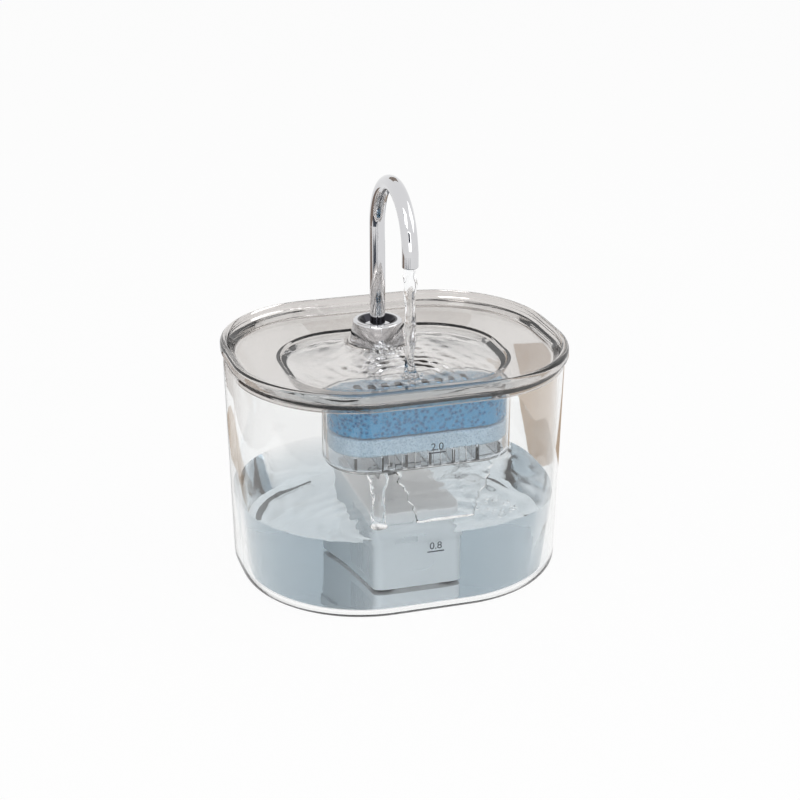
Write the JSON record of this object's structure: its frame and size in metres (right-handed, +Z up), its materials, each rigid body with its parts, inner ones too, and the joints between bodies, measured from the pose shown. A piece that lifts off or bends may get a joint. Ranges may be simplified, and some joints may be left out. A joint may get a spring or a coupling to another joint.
{
  "type": "pet water fountain",
  "caption": "Clear tabletop pet water fountain with a drinking tray, gooseneck faucet, hanging filter case and submerged pump.",
  "frame": {"origin": "middle of the base, on the surface that the foot stands on", "axes": "+Z up, -Y towards the front, where the spout points and the level marks are; X runs along the tank's long side"},
  "size_m": [0.2, 0.171, 0.2407],
  "materials": {
    "clear_tank": "clear moulded plastic, glossy",
    "smoky_tray": "smoky clear moulded plastic, glossy",
    "clear_case": "clear moulded plastic, glossy",
    "polished_chrome": "polished",
    "white_plastic": "fine moulded matt",
    "grey_plastic": "moulded",
    "potting": "cast resin",
    "silicone": "translucent silicone",
    "dark_rubber": "moulded rubber",
    "shaft_ceramic": "ground",
    "ferrite": "sintered",
    "blue_foam": "open-cell foam",
    "cotton": "needled wadding",
    "grey_foam": "coarse open-cell foam"
  },
  "bodies": {
    "base": {"tank": "clear_tank", "pump_housing": "white_plastic", "volute_chamber": "grey_plastic", "volute_cover": "grey_plastic", "pump_motor": "potting", "shaft_bushes": "dark_rubber", "impeller_shaft": "shaft_ceramic", "pre_filter_sponge": "grey_foam", "suction_cups": "dark_rubber", "cable_gland": "dark_rubber"},
    "pump_cap": {"pump_lid": "white_plastic"},
    "rotor": {"impeller": "white_plastic", "impeller_magnet": "ferrite"},
    "drinking_tray": {"tray": "smoky_tray", "faucet_base": "polished_chrome", "base_seal": "dark_rubber", "faucet_stem": "polished_chrome", "stem_o_rings": "dark_rubber", "faucet_nut": "white_plastic", "nut_seal": "dark_rubber", "riser_tube": "silicone"},
    "faucet": {"faucet_pipe": "polished_chrome", "spout_tip": "polished_chrome"},
    "filter": {"filter_case": "clear_case", "cotton_pad": "cotton", "blue_sponge": "blue_foam"}
  },
  "joints": [
    {"name": "tray_lift", "type": "slide", "parent": "base", "child": "drinking_tray", "axis": [0, 0, 1], "range_m": [0, 0.13]},
    {"name": "faucet_swivel", "type": "hinge", "parent": "drinking_tray", "child": "faucet", "pos_m": [0, 0.0335, 0.15], "axis": [0, 0, 1], "continuous": true},
    {"name": "filter_drop", "type": "slide", "parent": "drinking_tray", "child": "filter", "axis": [0, 0, -1], "range_m": [0, 0.022]},
    {"name": "pump_lid_lift", "type": "slide", "parent": "base", "child": "pump_cap", "axis": [0, 0, 1], "range_m": [0, 0.01]},
    {"name": "impeller_spin", "type": "hinge", "parent": "base", "child": "rotor", "pos_m": [0, 0.017, 0.0245], "axis": [0, 1, 0], "continuous": true}
  ]
}
